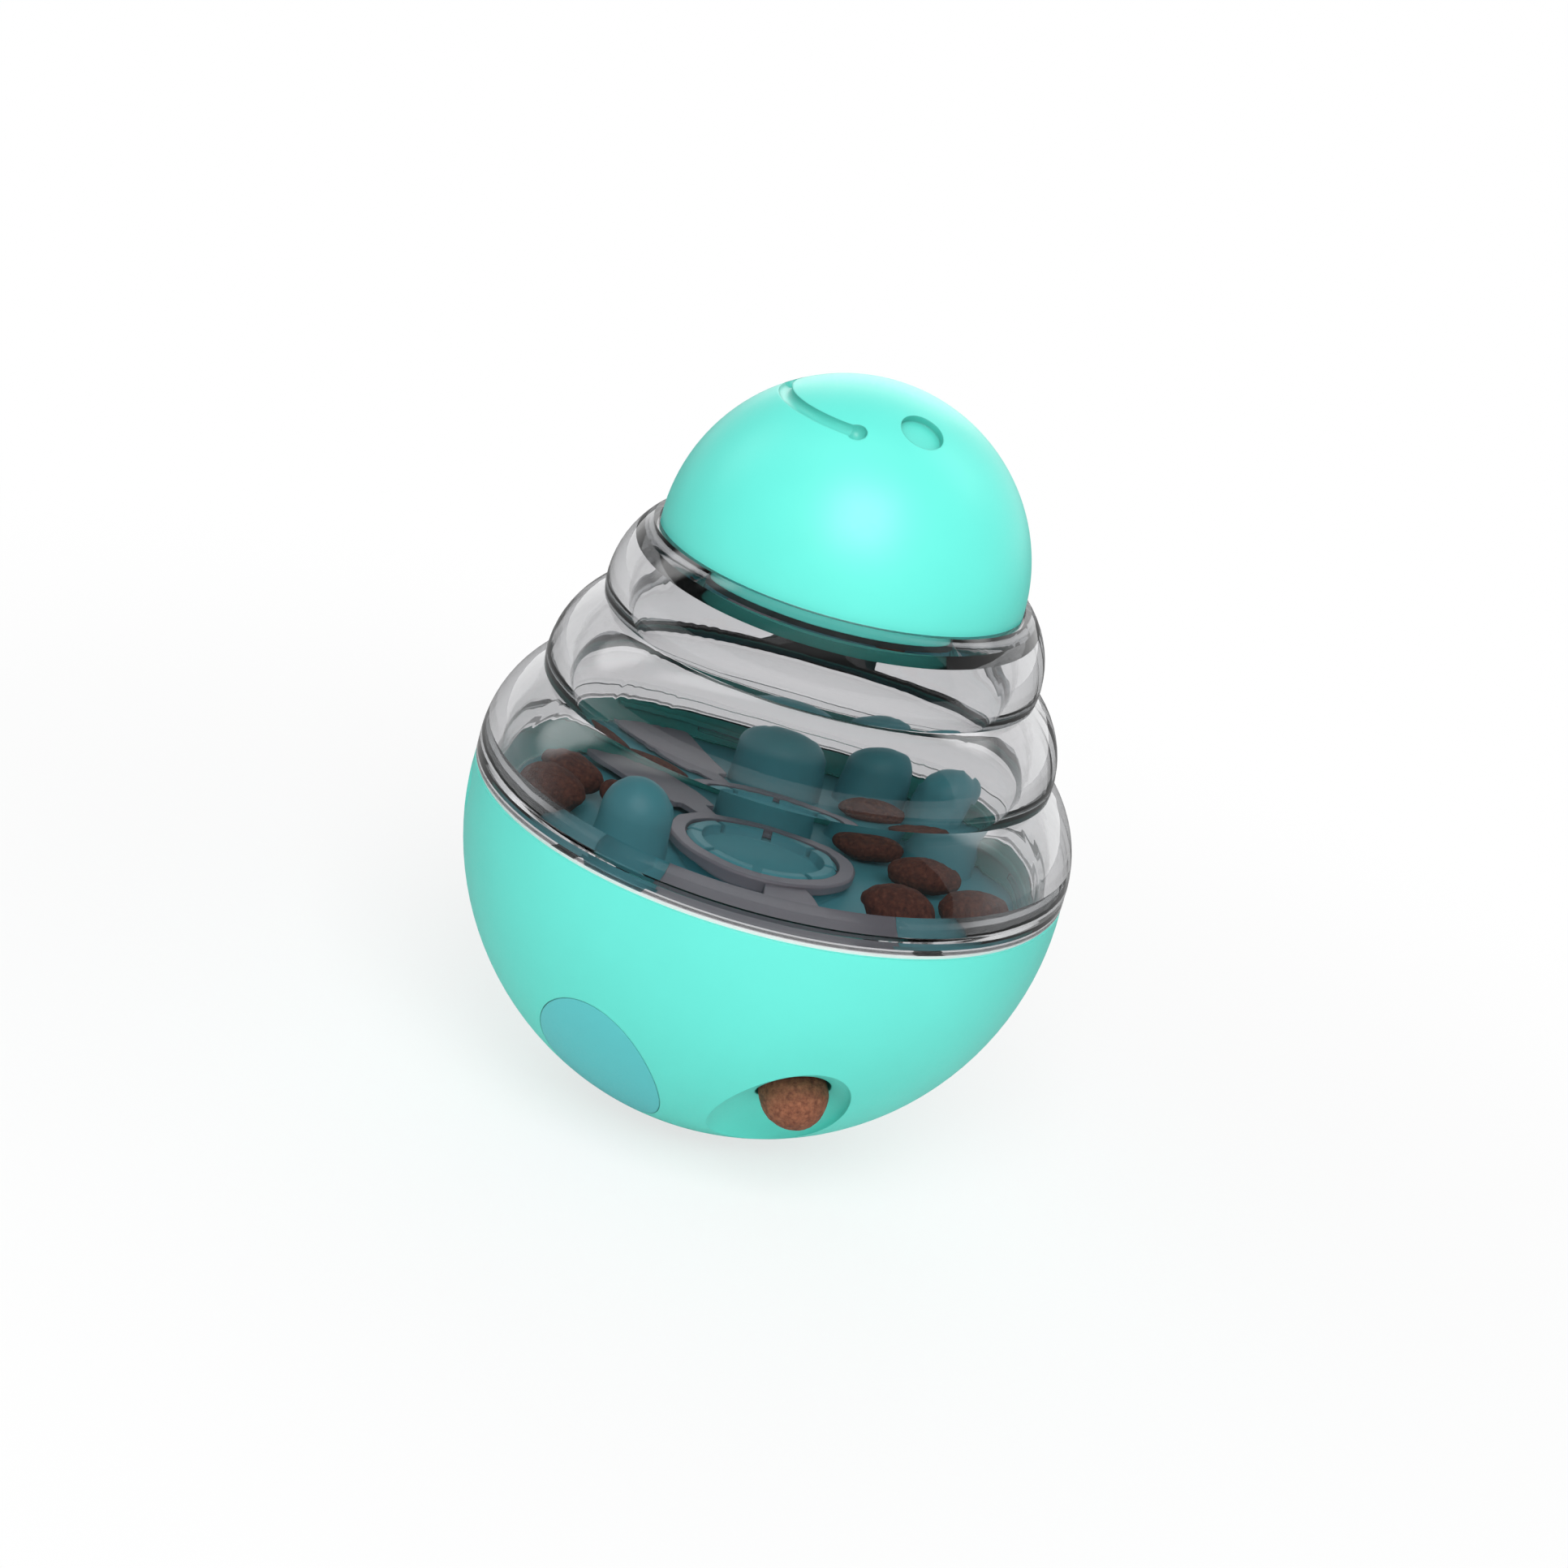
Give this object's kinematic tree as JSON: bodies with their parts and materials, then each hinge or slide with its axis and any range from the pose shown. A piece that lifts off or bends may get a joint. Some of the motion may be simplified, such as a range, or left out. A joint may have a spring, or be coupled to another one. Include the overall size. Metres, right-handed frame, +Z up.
{
  "type": "treat-dispensing tumbler toy",
  "caption": "Weighted tumbler pet toy with a turquoise bowl, a smoked clear ribbed screw-on cover and a dome cap, which lets treats out of a hole low on its side.",
  "frame": {"origin": "middle of the small flat that the bowl stands on", "axes": "+Z up along the axis of the ball and dome; the outlet's side faces -Y; +X to the right of someone facing that side"},
  "size_m": [0.105, 0.105, 0.135],
  "materials": {
    "turquoise_plastic": "injection-moulded ABS with a fine satin grain",
    "blue_plastic": "injection-moulded ABS, satin",
    "teal_plastic": "injection-moulded polypropylene, satin",
    "cast_iron": "as cast, oiled",
    "steel_screws": "zinc-plated thread-forming screws",
    "grey_plastic": "injection-moulded, fine satin",
    "milky_silicone": "translucent milky silicone",
    "smoked_clear_plastic": "clear polycarbonate with a smoke tint, polished",
    "baked_kibble": "baked, rough and crumbly"
  },
  "bodies": {
    "base": {"outer_bowl": "turquoise_plastic", "side_disc": "blue_plastic", "counterweight": "cast_iron", "weight_cover": "teal_plastic", "cover_screws": "steel_screws", "maze_tray": "teal_plastic", "treats": "baked_kibble"},
    "gate": {"gate": "grey_plastic"},
    "seal": {"seal_ring": "milky_silicone"},
    "shell": {"clear_cover": "smoked_clear_plastic"},
    "cap": {"dome_cap": "turquoise_plastic", "cap_plug": "turquoise_plastic", "cap_seal": "milky_silicone"}
  },
  "joints": [
    {"name": "gate_turn", "type": "hinge", "parent": "base", "child": "gate", "pos_m": [0, 0, 0.04939], "axis": [0, 0, 1], "range_deg": [0, 18]},
    {"name": "shell_rise", "type": "slide", "parent": "base", "child": "seal", "axis": [0, 0, 1], "range_m": [0, 0.0101]},
    {"name": "shell_turn", "type": "hinge", "parent": "seal", "child": "shell", "pos_m": [0, 0, 0.05469], "axis": [0, 0, 1], "range_deg": [0, 180]},
    {"name": "cap_pull", "type": "slide", "parent": "shell", "child": "cap", "axis": [0, 0, 1], "range_m": [0, 0.025]}
  ],
  "couplings": [
    {"joint": "shell_rise", "follows": "shell_turn", "m_per_rad": 0.0031831}
  ]
}
